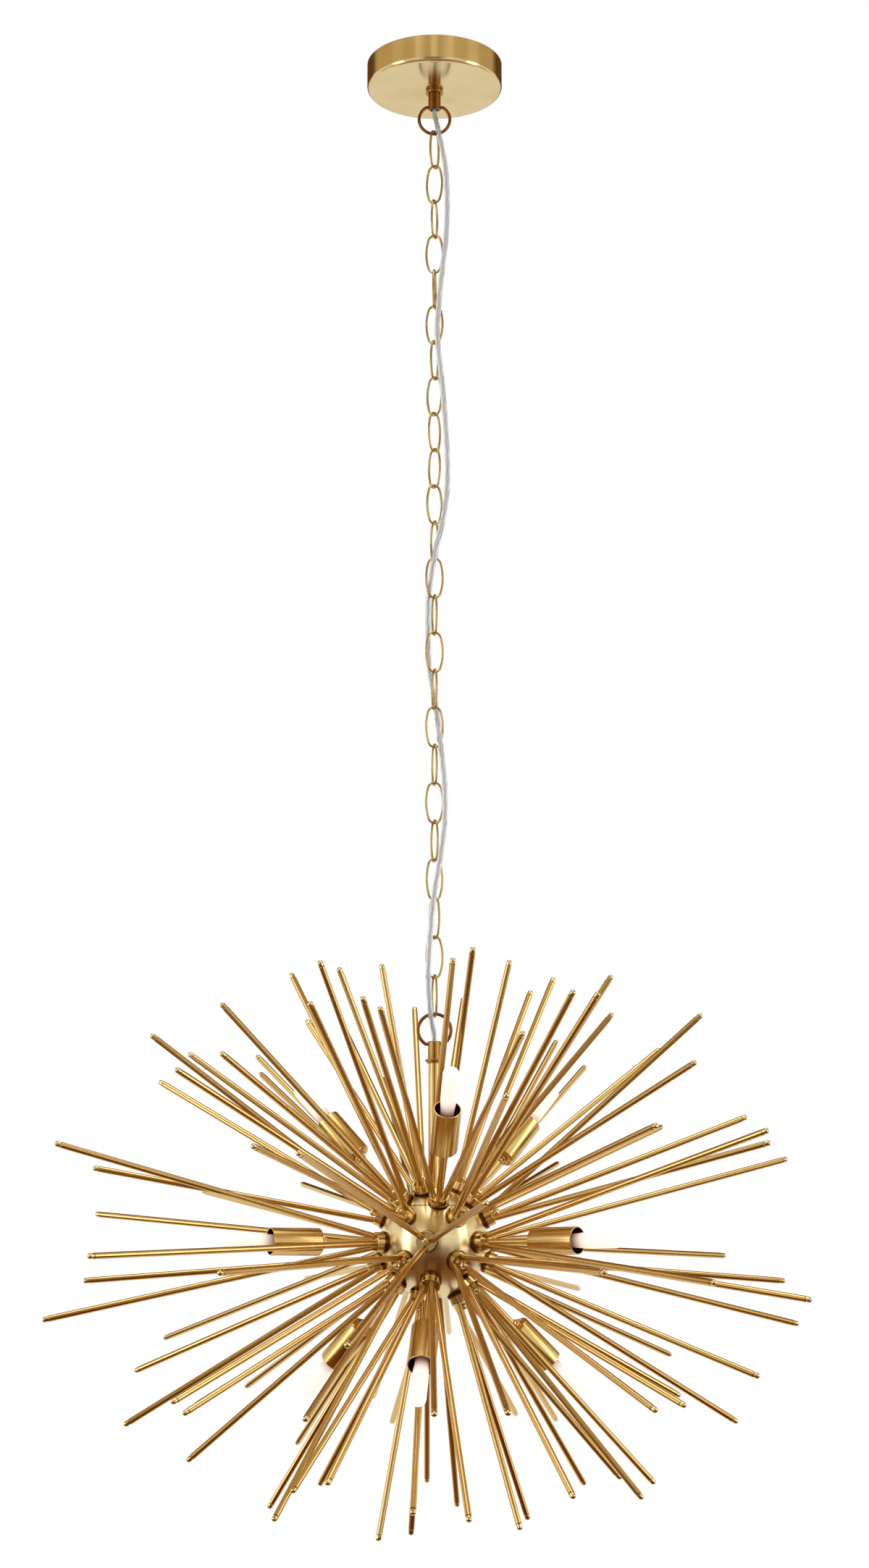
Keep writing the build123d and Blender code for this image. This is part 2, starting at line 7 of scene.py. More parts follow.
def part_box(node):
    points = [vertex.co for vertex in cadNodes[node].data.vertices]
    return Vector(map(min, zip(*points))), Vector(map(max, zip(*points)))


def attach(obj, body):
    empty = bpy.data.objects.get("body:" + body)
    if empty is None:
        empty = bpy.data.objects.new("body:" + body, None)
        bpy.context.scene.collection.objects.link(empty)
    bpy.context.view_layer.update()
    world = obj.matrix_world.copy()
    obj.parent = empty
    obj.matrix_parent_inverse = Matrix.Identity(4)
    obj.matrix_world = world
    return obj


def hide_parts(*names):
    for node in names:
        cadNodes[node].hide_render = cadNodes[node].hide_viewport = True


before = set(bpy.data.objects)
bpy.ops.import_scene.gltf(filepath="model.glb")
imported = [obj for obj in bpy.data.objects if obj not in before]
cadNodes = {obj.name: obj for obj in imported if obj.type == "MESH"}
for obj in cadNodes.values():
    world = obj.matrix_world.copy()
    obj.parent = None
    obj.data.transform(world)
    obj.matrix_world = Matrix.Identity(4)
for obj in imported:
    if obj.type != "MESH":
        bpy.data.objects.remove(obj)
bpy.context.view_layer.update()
mm = 0.001  # the piece sizes below are millimetres, the scene is in metres
print("frame loaded:", len(cadNodes), "nodes")


def linear(code, alpha=1.0):  # sRGB hex to linear
    parts = [int(code[i:i + 2], 16) / 255 for i in (1, 3, 5)]
    return tuple(p / 12.92 if p <= 0.04045 else ((p + 0.055) / 1.055) ** 2.4 for p in parts) + (alpha,)


def addNode(tree, kind, settings=None, inputs=None):  # a socket among the inputs becomes a link
    node = tree.nodes.new(kind)
    for key, value in (settings or {}).items():
        setattr(node, key, value)
    for key, value in (inputs or {}).items():
        if isinstance(value, bpy.types.NodeSocket):
            tree.links.new(value, node.inputs[key])
        else:
            node.inputs[key].default_value = value
    return node


def newMaterial(name):
    material = bpy.data.materials.new(name)
    material.use_nodes = True
    material.node_tree.nodes.clear()
    return material, material.node_tree


# The photograph's view, fitted to the canopy, chain and hub
photoView = {"lens": 61.02, "sensor": 36.0, "tiltUp": 11.03, "place": (0.0, -2.3947, -1.1757),
             "nearest": 0.05, "farthest": 60}


def makeCamera():
    data = bpy.data.cameras.new("photoCamera")
    data.sensor_width = photoView["sensor"]  # on the long, upright side of a 1200 x 2166 image
    data.lens = photoView["lens"]
    data.clip_start = photoView["nearest"]
    data.clip_end = photoView["farthest"]
    camera = bpy.data.objects.new("photoCamera", data)
    camera.location = photoView["place"]
    camera.rotation_euler = (math.radians(90 + photoView["tiltUp"]), 0, 0)
    bpy.context.scene.collection.objects.link(camera)
    bpy.context.scene.camera = camera


makeCamera()
print("camera set")

# Ball hub with round bosses; three rods stand in each, splayed from its axis
hubSizes = {"radius": 48.6, "bossFace": 57.0, "rodCircle": 5.7, "splay": 16.1, "sink": 3.0}
bossRings = {  # elevation, first azimuth, rod length, bosses with a lamp, turn of each boss
    "top": (65.0, 96.0, 203.0, (), (80, 20, 55)),
    "upper": (46.0, 6.0, 229.0, (0, 2, 4), (15, 40, 5, 80, 5, 40)),
    "upper_middle": (26.0, -34.5, 256.0, (), (35, 10, 105, 15, 60, 45)),
    "equator": (0.0, -7.5, 294.0, (1, 3, 5), (75, 5, 95, 40, 70, 100)),
    "lower_middle": (-19.5, -34.5, 256.0, (), (5, 0, 20, 30, 115, 20)),
    "lower": (-42.5, -5.5, 229.0, (0, 2, 4), (20, 5, 5, 65, 35, 30)),
    "bottom": (-65.0, 84.5, 203.0, (), (0, 60, 80)),
}
hubCentre = Vector((0, 0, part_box("hub_shell")[0].z + hubSizes["radius"] * mm))

# Spun brass, brushed on the lathe: fine rings of tool marks that stretch highlights into fans.
# The marks are drawn about four times too coarse, because real ones are too fine to show.
canopyFinish = {"pale": "#E9D7A8", "deep": "#D2B67A", "rough": (0.14, 0.2), "lineMm": 0.5, "runMm": 60,
                "anisotropic": 0.92, "bumpMm": 0.001}
hubFinish = {"pale": "#F0E0B4", "deep": "#E0C68C", "rough": (0.20, 0.27), "lineMm": 0.4, "runMm": 40,
             "anisotropic": 0.8, "bumpMm": 0.0008, "brown": "#5A3816", "seamUp": 31.8, "seamWide": 0.7}
# on the bosses, the brown band next to the hub is painted shade, not a colour of the brass
bossFinish = {"pale": "#EBD8A2", "deep": "#D6B26E", "rough": (0.14, 0.22), "lineMm": 0.4, "runMm": 12,
              "anisotropic": 0.0, "bumpMm": 0.001, "brown": "#6E421C", "grooveShadeFrom": 51.6, "grooveShadeTo": 50.8}
stemFinish = {"pale": "#E4C88A", "deep": "#C79F58", "rough": (0.16, 0.26), "lineMm": 0.4, "runMm": 12,
              "anisotropic": 0.2, "bumpMm": 0.001}
collarFinish = {"pale": "#C49A54", "deep": "#8E632C", "rough": (0.18, 0.28), "lineMm": 0.4, "runMm": 12,
                "anisotropic": 0.2, "bumpMm": 0.001}
# The same brass, chemically browned and waxed: dark in the hollows, coppery where it is rubbed
agedFinish = {"pale": "#A86E36", "deep": "#663815", "rough": (0.24, 0.40), "lineMm": 0.6, "runMm": 8,
              "anisotropic": 0.2, "bumpMm": 0.004}
# share: how far the marks shift the tone; a mark is runMm long at radiusMm; brushTurn: round the axis
turnedMarks = {"share": 0.5, "cloudMm": 35, "radiusMm": 50, "bumpStrength": 0.5, "brushTurn": 0.25}
noiseSpan = (0.3, 0.7)  # most of a noise texture's values lie in this range


def turnedBrass(name, look):
    material, tree = newMaterial(name)
    spot = addNode(tree, "ShaderNodeTexCoord").outputs["Object"]
    flat = addNode(tree, "ShaderNodeVectorMath", {"operation": "MULTIPLY"},
                   {0: spot, 1: (1, 1, 0)}).outputs[0]
    radius = addNode(tree, "ShaderNodeVectorMath", {"operation": "LENGTH"}, {0: flat}).outputs["Value"]
    heading = addNode(tree, "ShaderNodeVectorMath", {"operation": "NORMALIZE"}, {0: flat}).outputs[0]
    turn = addNode(tree, "ShaderNodeSeparateXYZ", None, {0: heading})
    height = addNode(tree, "ShaderNodeSeparateXYZ", None, {0: spot}).outputs["Z"]
    perLine = 1 / (look["lineMm"] * mm)
    perRun = turnedMarks["radiusMm"] / look["runMm"]
    out = addNode(tree, "ShaderNodeMath", {"operation": "MULTIPLY"}, {0: radius, 1: perLine}).outputs[0]
    down = addNode(tree, "ShaderNodeMath", {"operation": "MULTIPLY"}, {0: height, 1: perLine}).outputs[0]
    east = addNode(tree, "ShaderNodeMath", {"operation": "MULTIPLY"},
                   {0: turn.outputs["X"], 1: perRun}).outputs[0]
    north = addNode(tree, "ShaderNodeMath", {"operation": "MULTIPLY"},
                    {0: turn.outputs["Y"], 1: perRun}).outputs[0]
    marks = addNode(tree, "ShaderNodeCombineXYZ", None, {"X": out, "Y": down, "Z": east}).outputs[0]
    lines = addNode(tree, "ShaderNodeTexNoise", {"noise_dimensions": "4D"},
                    {"Vector": marks, "W": north, "Scale": 1, "Detail": 2}).outputs[0]
    cloud = addNode(tree, "ShaderNodeTexNoise", None,
                    {"Vector": spot, "Scale": 1 / (turnedMarks["cloudMm"] * mm), "Detail": 3}).outputs[0]
    blendIn = addNode(tree, "ShaderNodeMath", {"operation": "MULTIPLY_ADD"},
                      {0: lines, 1: turnedMarks["share"], 2: -turnedMarks["share"] / 2}).outputs[0]
    share = addNode(tree, "ShaderNodeMath", {"operation": "ADD", "use_clamp": True},
                    {0: cloud, 1: blendIn}).outputs[0]
    tone = addNode(tree, "ShaderNodeMix", {"data_type": "RGBA"},
                   {0: share, 6: linear(look["pale"]), 7: linear(look["deep"])}).outputs[2]
    if "seamUp" in look:  # dark joint between the ball's shell and its cap
        up = addNode(tree, "ShaderNodeMath", {"operation": "SUBTRACT"},
                     {0: height, 1: hubCentre.z + look["seamUp"] * mm}).outputs[0]
        seam = addNode(tree, "ShaderNodeMath", {"operation": "COMPARE"},
                       {0: up, 1: 0.0, 2: look["seamWide"] / 2 * mm}).outputs[0]
        tone = addNode(tree, "ShaderNodeMix", {"data_type": "RGBA"},
                       {0: seam, 6: tone, 7: linear(look["brown"])}).outputs[2]
    if "grooveShadeTo" in look:  # painted shade: darker brown in the groove where the boss meets the hub
        reach = addNode(tree, "ShaderNodeVectorMath", {"operation": "DISTANCE"},
                        {0: spot, 1: hubCentre}).outputs["Value"]
        grooveShade = addNode(tree, "ShaderNodeMapRange", None,
                       {"Value": reach, "From Min": look["grooveShadeFrom"] * mm,
                        "From Max": look["grooveShadeTo"] * mm}).outputs[0]
        tone = addNode(tree, "ShaderNodeMix", {"data_type": "RGBA"},
                       {0: grooveShade, 6: tone, 7: linear(look["brown"])}).outputs[2]
    rough = addNode(tree, "ShaderNodeMapRange", None,
                    {"Value": lines, "From Min": noiseSpan[0], "From Max": noiseSpan[1],
                     "To Min": look["rough"][0], "To Max": look["rough"][1]}).outputs[0]
    bump = addNode(tree, "ShaderNodeBump", None,
                   {"Height": lines, "Strength": turnedMarks["bumpStrength"],
                    "Distance": look["bumpMm"] * mm}).outputs[0]
    tangent = addNode(tree, "ShaderNodeTangent", {"direction_type": "RADIAL", "axis": "Z"}).outputs[0]
    shader = addNode(tree, "ShaderNodeBsdfPrincipled", None,
                     {"Base Color": tone, "Metallic": 1.0, "Roughness": rough, "Normal": bump,
                      "Anisotropic": look["anisotropic"], "Anisotropic Rotation": turnedMarks["brushTurn"],
                      "Tangent": tangent})
    addNode(tree, "ShaderNodeOutputMaterial", None, {"Surface": shader.outputs[0]})
    return material


# Drawn brass, satin polished: lengthwise die marks, soft highlights, each rod a little different in tone.
# The marks are drawn coarser than real, because real ones are too fine to show.
rodFinish = {"pale": "#F1D692", "deep": "#BE883A", "rough": (0.18, 0.21),
             "lineMm": 0.7, "runMm": 120, "bumpMm": 0.0006, "cloudMm": 180}
cupFinish = {"pale": "#E6CA8C", "deep": "#D0A75C", "rough": (0.18, 0.22),
             "lineMm": 0.8, "runMm": 60, "bumpMm": 0.001, "cloudMm": 60}
chainFinish = {"pale": "#DCC27E", "deep": "#9E7A3A", "rough": (0.20, 0.32),
               "lineMm": 0.5, "runMm": 20, "bumpMm": 0.001, "cloudMm": 60}
# The same brass, buffed: small bright reflections on the plugs and nuts
tipFinish = {"pale": "#F0DCA8", "deep": "#DDBB78", "rough": (0.10, 0.18),
             "lineMm": 0.6, "runMm": 6, "bumpMm": 0.0005, "cloudMm": 60}
drawnMarks = {"share": 0.12, "bumpStrength": 0.5}


def drawnBrass(name, look):
    material, tree = newMaterial(name)
    spot = addNode(tree, "ShaderNodeUVMap", {"uv_map": "lengthwise"}).outputs["UV"]
    marks = addNode(tree, "ShaderNodeVectorMath", {"operation": "MULTIPLY"},
                    {0: spot, 1: (1 / (look["runMm"] * mm), 1 / (look["lineMm"] * mm), 0)}).outputs[0]
    lines = addNode(tree, "ShaderNodeTexNoise", None, {"Vector": marks, "Scale": 1, "Detail": 2}).outputs[0]
    cloud = addNode(tree, "ShaderNodeTexNoise", None,
                    {"Vector": spot, "Scale": 1 / (look["cloudMm"] * mm), "Detail": 2}).outputs[0]
    blendIn = addNode(tree, "ShaderNodeMath", {"operation": "MULTIPLY_ADD"},
                      {0: lines, 1: drawnMarks["share"], 2: -drawnMarks["share"] / 2}).outputs[0]
    share = addNode(tree, "ShaderNodeMath", {"operation": "ADD", "use_clamp": True},
                    {0: cloud, 1: blendIn}).outputs[0]
    tone = addNode(tree, "ShaderNodeMix", {"data_type": "RGBA"},
                   {0: share, 6: linear(look["pale"]), 7: linear(look["deep"])}).outputs[2]
    rough = addNode(tree, "ShaderNodeMapRange", None,
                    {"Value": lines, "From Min": noiseSpan[0], "From Max": noiseSpan[1],
                     "To Min": look["rough"][0], "To Max": look["rough"][1]}).outputs[0]
    bump = addNode(tree, "ShaderNodeBump", None,
                   {"Height": lines, "Strength": drawnMarks["bumpStrength"],
                    "Distance": look["bumpMm"] * mm}).outputs[0]
    shader = addNode(tree, "ShaderNodeBsdfPrincipled", None,
                     {"Base Color": tone, "Metallic": 1.0, "Roughness": rough, "Normal": bump})
    addNode(tree, "ShaderNodeOutputMaterial", None, {"Surface": shader.outputs[0]})
    return material


# Glazed steatite ceramic: cream, with a soft shine from the glaze
ceramicFinish = {"pale": "#F1EDE4", "deep": "#E3DDD0", "grainMm": 3, "rough": 0.25, "metal": 0.0, "coat": 0.3}
# Zinc plated steel: grey, cloudy and half dull
zincFinish = {"pale": "#C3C6C8", "deep": "#9EA2A5", "grainMm": 4, "rough": 0.35, "metal": 1.0, "coat": 0.0}
# Moulded nylon: off white and matt
nylonFinish = {"pale": "#ECEAE4", "deep": "#DEDBD3", "grainMm": 2, "rough": 0.45, "metal": 0.0, "coat": 0.0}
# Brass inside the cups and in the rod grooves, painted darker as shade: dark and warm
shadedInsideFinish = {"pale": "#8E5A2A", "deep": "#5E3818", "grainMm": 6, "rough": 0.38, "metal": 1.0, "coat": 0.0}
# Tinned copper strands, twisted: silvery grey, broken up by the lay.
# The strands are drawn coarser than real, because real ones are too fine to show.
wireFinish = {"pale": "#E4E4E3", "deep": "#B8B8B6", "grainMm": 1.2, "rough": 0.35, "metal": 0.3, "coat": 0.0}
mottle = {"bumpStrength": 0.3, "bumpMm": 0.02}


def mottled(name, look):
    material, tree = newMaterial(name)
    spot = addNode(tree, "ShaderNodeTexCoord").outputs["Object"]
    cloud = addNode(tree, "ShaderNodeTexNoise", None,
                    {"Vector": spot, "Scale": 1 / (look["grainMm"] * mm), "Detail": 4}).outputs[0]
    tone = addNode(tree, "ShaderNodeMix", {"data_type": "RGBA"},
                   {0: cloud, 6: linear(look["pale"]), 7: linear(look["deep"])}).outputs[2]
    bump = addNode(tree, "ShaderNodeBump", None,
                   {"Height": cloud, "Strength": mottle["bumpStrength"],
                    "Distance": mottle["bumpMm"] * mm}).outputs[0]
    shader = addNode(tree, "ShaderNodeBsdfPrincipled", None,
                     {"Base Color": tone, "Metallic": look["metal"], "Roughness": look["rough"],
                      "Coat Weight": look["coat"], "Normal": bump})
    addNode(tree, "ShaderNodeOutputMaterial", None, {"Surface": shader.outputs[0]})
    return material


# Soft PVC, extruded clear: glassy, slightly cloudy, the cores show through
vinylFinish = {"clear": "#FBFBFC", "cloudy": "#F1F2F3", "rough": 0.08, "ior": 1.53, "cloudMm": 14,
               "passes": 0.92}


def clearVinyl(name, look):
    material, tree = newMaterial(name)
    spot = addNode(tree, "ShaderNodeTexCoord").outputs["Object"]
    cloud = addNode(tree, "ShaderNodeTexNoise", None,
                    {"Vector": spot, "Scale": 1 / (look["cloudMm"] * mm), "Detail": 2}).outputs[0]
    tone = addNode(tree, "ShaderNodeMix", {"data_type": "RGBA"},
                   {0: cloud, 6: linear(look["clear"]), 7: linear(look["cloudy"])}).outputs[2]
    shader = addNode(tree, "ShaderNodeBsdfPrincipled", None,
                     {"Base Color": tone, "Roughness": look["rough"], "IOR": look["ior"],
                      "Transmission Weight": look["passes"]})
    addNode(tree, "ShaderNodeOutputMaterial", None, {"Surface": shader.outputs[0]})
    return material


# Quartz glass, frosted with acid and lit from inside: white in the middle, a little warm at the foot.
# The frost's grain is drawn coarser than real, because the real one is too fine to show.
bulbFinish = {"glass": "#F6EDE6", "foot": "#F0C2A8", "glow": "#FFF3E6", "strength": 0.46, "rough": 0.4,
              "ior": 1.46, "footMm": 15, "bodyMm": 33, "grainMm": 0.4, "bumpStrength": 0.2, "bumpMm": 0.02}


def frostedGlow(name, look):
    material, tree = newMaterial(name)
    spot = addNode(tree, "ShaderNodeUVMap", {"uv_map": "lengthwise"}).outputs["UV"]
    along = addNode(tree, "ShaderNodeSeparateXYZ", None, {0: spot}).outputs["X"]
    body = addNode(tree, "ShaderNodeMapRange", {"interpolation_type": "SMOOTHSTEP"},
                   {"Value": along, "From Min": look["footMm"] * mm,
                    "From Max": look["bodyMm"] * mm}).outputs[0]
    tone = addNode(tree, "ShaderNodeMix", {"data_type": "RGBA"},
                   {0: body, 6: linear(look["foot"]), 7: linear(look["glass"])}).outputs[2]
    heat = addNode(tree, "ShaderNodeMath", {"operation": "MULTIPLY"},
                   {0: body, 1: look["strength"]}).outputs[0]
    grain = addNode(tree, "ShaderNodeTexNoise", None,
                    {"Vector": spot, "Scale": 1 / (look["grainMm"] * mm), "Detail": 3}).outputs[0]
    bump = addNode(tree, "ShaderNodeBump", None,
                   {"Height": grain, "Strength": look["bumpStrength"],
                    "Distance": look["bumpMm"] * mm}).outputs[0]
    shader = addNode(tree, "ShaderNodeBsdfPrincipled", None,
                     {"Base Color": tone, "Roughness": look["rough"], "IOR": look["ior"],
                      "Emission Color": linear(look["glow"]), "Emission Strength": heat, "Normal": bump})
    addNode(tree, "ShaderNodeOutputMaterial", None, {"Surface": shader.outputs[0]})
    return material


canopyBrass = turnedBrass("turnedBrassCanopy", canopyFinish)
hubBrass = turnedBrass("turnedBrassHub", hubFinish)
bossBrass = turnedBrass("turnedBrassBosses", bossFinish)
stemBrass = turnedBrass("turnedBrassStem", stemFinish)
collarBrass = turnedBrass("turnedBrassCollars", collarFinish)
agedBrass = turnedBrass("brownedWaxedBrass", agedFinish)
rodBrass = drawnBrass("drawnBrassRods", rodFinish)
cupBrass = drawnBrass("drawnBrassCups", cupFinish)
chainBrass = drawnBrass("drawnBrassChain", chainFinish)
tipBrass = drawnBrass("polishedBrassTips", tipFinish)
ceramic = mottled("glazedCeramic", ceramicFinish)
zinc = mottled("zincPlatedSteel", zincFinish)
nylon = mottled("mouldedNylon", nylonFinish)
shadedInsideBrass = mottled("paintedShadeInsideBrass", shadedInsideFinish)
wireSilver = mottled("tinnedTwistedCopper", wireFinish)
vinyl = clearVinyl("extrudedClearVinyl", vinylFinish)
bulbGlass = frostedGlow("acidFrostedQuartz", bulbFinish)
print("materials made")

# CAD pieces that keep their own mesh
cadLooks = {
    "canopy": canopyBrass, "crossbar": zinc, "nipple": zinc, "nipple_locknut": zinc, "terminal_block": nylon,
    "earth_screw": zinc, "upper_collar": collarBrass, "upper_cup": agedBrass, "upper_ring": agedBrass,
    "lower_ring": agedBrass, "lower_cup": collarBrass, "lower_collar": collarBrass, "stem": stemBrass,
    "stem_washer": zinc, "stem_nut": zinc, "hub_shell": hubBrass, "hub_cap": hubBrass,
    "rod_bosses": bossBrass, "socket_bosses": bossBrass, "boss_screws": hubBrass, "lampholders": ceramic,
    "bulb_bases": ceramic,
}
for node, material in cadLooks.items():
    cadNodes[node].data.materials.clear()
    cadNodes[node].data.materials.append(material)


def newSolid():  # an empty mesh with a lengthwise map, in metres along and around
    bm = bmesh.new()
    return bm, bm.loops.layers.uv.new("lengthwise")


# Cord: clear jacket over three tinned cores laid up in a slow twist
cordShape = {"diameter": 5.0, "coreRadius": 0.55, "coreOffset": 0.62, "layMm": 48, "sides": 8, "cores": 3,
             "steps": 10, "roundness": 5}
cordRoute = [
    (0, 0, -40.5), (0, 0.4, -50.5), (2, -4, -60), (4.5, -8.5, -75), (10.5, -8, -104),
    (12.5, -7, -140), (11.5, -7, -176), (7.5, -9.5, -211), (4, -11.5, -247), (2, -12.3, -282),
    (6.6, -10.4, -318), (9.4, -8.4, -353), (12, -5, -389), (12.6, -3.5, -424), (8.4, -9.8, -459),
    (3.6, -12.2, -478), (-0.8, -9, -498), (-6, 5.8, -531), (-6.2, 6, -567), (-4.8, 10.6, -602),
    (-0.8, 13, -620), (1.8, 9.2, -639), (5.5, -5.5, -673), (9.5, -8, -709), (10, -7.8, -744),
    (5.2, -11, -780), (-1, -12.2, -815), (-4, -11.8, -851), (-6, -10.8, -886), (-4.6, -9.2, -914),
    (-2.3, -4.8, -929.5), (0, 0.4, -940.4), (0, 0, -951),
]


def cordCurve(name, depth):
    data = bpy.data.curves.new(name, "CURVE")
    data.dimensions = "3D"
    data.resolution_u = cordShape["steps"]
    data.bevel_depth = depth
    data.bevel_resolution = cordShape["roundness"]
    data.use_fill_caps = depth > 0
    spline = data.splines.new("NURBS")
    spline.points.add(len(cordRoute) - 1)
    for point, spot in zip(spline.points, cordRoute):
        point.co = (*(Vector(spot) * mm), 1)
    spline.order_u = 3
    spline.use_endpoint_u = True
    curve = bpy.data.objects.new(name, data)
    bpy.context.scene.collection.objects.link(curve)
    return curve


def makeCord():
    guide = cordCurve("cordGuide", 0)
    bpy.context.view_layer.update()
    mesh = bpy.data.meshes.new_from_object(guide)
    line = [v.co.copy() for v in mesh.vertices]
    bpy.data.meshes.remove(mesh)
    bpy.data.objects.remove(guide)
    bm, uv = newSolid()
    for core in range(cordShape["cores"]):
        done = 0.0
        rings = []
        for k, point in enumerate(line):
            if k:
                done += (point - line[k - 1]).length
            ahead = (line[min(k + 1, len(line) - 1)] - line[max(k - 1, 0)]).normalized()
            east = ahead.cross(Vector((0, 1, 0))).normalized()
            north = ahead.cross(east)
            lay = 2 * math.pi * (done / (cordShape["layMm"] * mm) + core / cordShape["cores"])
            middle = point + (east * math.cos(lay) + north * math.sin(lay)) * cordShape["coreOffset"] * mm
            ring = []
            for q in range(cordShape["sides"]):
                c = 2 * math.pi * q / cordShape["sides"]
                around = east * math.cos(c) + north * math.sin(c)
                ring.append(bm.verts.new(middle + around * cordShape["coreRadius"] * mm))
            rings.append(ring)
        for low, high in zip(rings, rings[1:]):
            for q in range(cordShape["sides"]):
                n = (q + 1) % cordShape["sides"]
                bm.faces.new((low[q], low[n], high[n], high[q])).smooth = True
        bm.faces.new(rings[0])
        bm.faces.new(rings[-1])
    bmesh.ops.recalc_face_normals(bm, faces=bm.faces)
    coreMesh = bpy.data.meshes.new("cordCores")
    bm.to_mesh(coreMesh)
    bm.free()
    coreMesh.materials.append(wireSilver)
    cores = bpy.data.objects.new("cordCores", coreMesh)
    bpy.context.scene.collection.objects.link(cores)
    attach(cores, "hanger")
    jacket = cordCurve("cordJacket", cordShape["diameter"] / 2 * mm)
    jacket.data.materials.append(vinyl)
    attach(jacket, "hanger")
    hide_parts("cord")


makeCord()
print("cord made")

sharpBend = 35  # degrees; a profile corner that turns more stays crisp


def lathe(bm, uv, profile, place, segments, slots=None, shift=0.0):  # profile: (radius, height) in mm
    run = [0.0]
    for (r0, z0), (r1, z1) in zip(profile, profile[1:]):
        run.append(run[-1] + math.hypot(r1 - r0, z1 - z0) * mm)
    girth = max(r for r, z in profile) * mm
    rings = []
    for r, z in profile:
        count = segments if r > 1e-6 else 1
        ring = []
        for k in range(count):
            a = 2 * math.pi * k / segments
            ring.append(bm.verts.new(place @ (Vector((r * math.cos(a), r * math.sin(a), z)) * mm)))
        rings.append(ring)
    for i, (low, high) in enumerate(zip(rings, rings[1:])):
        for k in range(segments):
            corners = [(low, k, i), (low, k + 1, i), (high, k + 1, i + 1), (high, k, i + 1)]
            if len(low) == 1:
                corners.pop(0)
            elif len(high) == 1:
                corners.pop(3)
            face = bm.faces.new([ring[c % len(ring)] for ring, c, j in corners])
            face.smooth = True
            face.material_index = slots[i] if slots else 0
            for loop, (ring, c, j) in zip(face.loops, corners):
                loop[uv].uv = (run[j] + shift, c / segments * 2 * math.pi * girth + shift)
    for i in range(1, len(profile) - 1):  # keep real corners crisp
        (r0, z0), (r1, z1), (r2, z2) = profile[i - 1:i + 2]
        bend = abs(math.atan2(z2 - z1, r2 - r1) - math.atan2(z1 - z0, r1 - r0))
        if min(bend, 2 * math.pi - bend) > math.radians(sharpBend) and len(rings[i]) > 1:
            for k in range(segments):
                edge = bm.edges.get((rings[i][k], rings[i][(k + 1) % segments]))
                if edge:
                    edge.smooth = False


def finishSolid(name, bm, materials, body, slotName, *nodes):
    bmesh.ops.recalc_face_normals(bm, faces=bm.faces)
    mesh = bpy.data.meshes.new(name)
    bm.to_mesh(mesh)
    bm.free()
    for material in materials:
        mesh.materials.append(material)
    piece = bpy.data.objects.new(name, mesh)
    bpy.context.scene.collection.objects.link(piece)
    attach(piece, body)
    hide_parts(*nodes)


def axesAt(place, xAxis, zAxis):
    turn = Matrix((xAxis, zAxis.cross(xAxis), zAxis)).transposed().to_4x4()
    return Matrix.Translation(place) @ turn


def bossPlaces(elevation, firstAzimuth, turns):
    places = []
    for index, turn in enumerate(turns):
        tilt = math.radians(elevation)
        bearing = math.radians(firstAzimuth + index * 360 / len(turns))
        out = Vector((math.cos(tilt) * math.sin(bearing), -math.cos(tilt) * math.cos(bearing),
                      math.sin(tilt)))
        right = Vector((math.cos(bearing), math.sin(bearing), 0))
        firstRod = out.cross(right) * math.cos(math.radians(turn)) + right * math.sin(math.radians(turn))
        places.append(axesAt(hubCentre, firstRod, out))
    return places


def rodFeet():
    feet = []
    for clock in (0, 120, 240):
        spoke = Vector((math.cos(math.radians(clock)), math.sin(math.radians(clock)), 0))
        lean = math.radians(hubSizes["splay"])
        axis = spoke * math.sin(lean) + Vector((0, 0, math.cos(lean)))
        foot = spoke * hubSizes["rodCircle"] + Vector((0, 0, hubSizes["bossFace"])) - axis * hubSizes["sink"]
        feet.append(axesAt(foot * mm, spoke.cross(axis).normalized(), axis))
    return feet


# Rods: a drawn bar, a narrow dark groove and a polished domed plug
rodShape = {"radius": 2.7, "plugRadius": 2.5, "plugLength": 5.5, "groove": 0.45, "grooveDepth": 0.5,
            "edgeLength": 0.25, "edgeDepth": 0.2, "plugEdgeLength": 0.15, "plugEdgeDepth": 0.12, "dome": 2.2,
            "domeSteps": 6, "segments": 20, "toneShift": 0.7}


def rodProfile(length):
    s = rodShape
    r = s["radius"]
    p = s["plugRadius"]
    tip = hubSizes["sink"] + length
    shoulder = tip - s["plugLength"]
    plugFoot = shoulder + s["groove"]
    neck = p - s["grooveDepth"]
    points = [(0, 0), (r, 0), (r, shoulder - s["edgeLength"]), (r - s["edgeDepth"], shoulder),
              (neck, shoulder), (neck, plugFoot), (p - s["plugEdgeDepth"], plugFoot),
              (p, plugFoot + s["plugEdgeLength"]), (p, tip - s["dome"])]
    for k in range(1, s["domeSteps"] + 1):
        a = math.pi / 2 * k / s["domeSteps"]
        across = p * math.cos(a) if k < s["domeSteps"] else 0
        points.append((across, tip - s["dome"] + s["dome"] * math.sin(a)))
    # slot 2, the groove bands, takes the dark inside brass: painted shade in the groove
    slots = [0, 0, 0, 2, 2, 2] + [1] * (len(points) - 7)  # bar, groove, plug
    return points, slots


def makeRods():
    feet = rodFeet()
    for ring, (elevation, firstAzimuth, length, lamps, turns) in bossRings.items():
        bm, uv = newSolid()
        profile, slots = rodProfile(length)
        for b, boss in enumerate(bossPlaces(elevation, firstAzimuth, turns)):
            for f, foot in enumerate(feet):
                shift = rodShape["toneShift"] * (len(feet) * b + f)
                lathe(bm, uv, profile, boss @ foot, rodShape["segments"], slots, shift)
        finishSolid(ring + "Rods", bm, [rodBrass, tipBrass, shadedInsideBrass], "burst", "rod_brass", ring + "_rods")


makeRods()
print("rods made")

